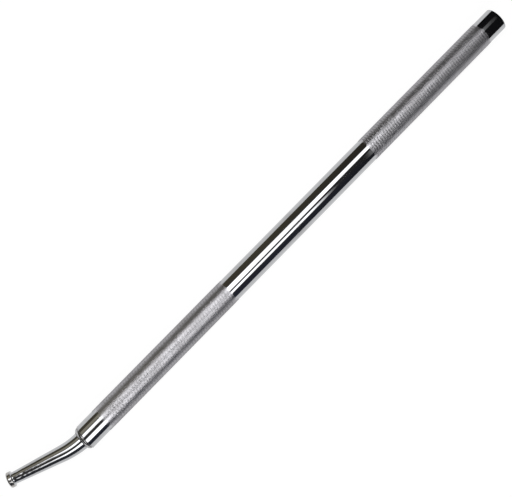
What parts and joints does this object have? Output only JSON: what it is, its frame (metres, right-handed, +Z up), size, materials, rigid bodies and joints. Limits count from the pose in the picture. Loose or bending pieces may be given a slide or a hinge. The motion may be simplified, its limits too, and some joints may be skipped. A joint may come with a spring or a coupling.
{
  "type": "winch bar",
  "caption": "Chromed tubular lever bar with knurled grips and a solid, bent, tapered nose ending in a mushroomed flange, for turning the drilled hub of a cargo strap winch.",
  "frame": {"origin": "centre of the flat butt face, on the handle axis", "axes": "+X along the handle axis from the butt to the nose, +Z up with the bar lying at rest on its grips and on the rim of the tip flange; the nose bends towards -Y and a little down"},
  "size_m": [0.8689, 0.0559, 0.0338],
  "materials": {
    "handle_chrome": "bright chrome plate over drawn steel tube, faint lengthwise polishing lines",
    "grip_chrome": "chrome plate over fine diamond knurling, satin from a distance",
    "nose_chrome": "bright chrome plate over a ground forging, slightly wavy",
    "weld_chrome": "chrome plate over a ground weld, slightly uneven",
    "plug_chrome": "chrome plate over a turned steel face"
  },
  "bodies": {
    "root": {"handle_tube": "handle_chrome", "nose_bar": "nose_chrome", "nose_weld": "weld_chrome", "end_plug": "plug_chrome", "end_weld": "weld_chrome"}
  },
  "joints": []
}
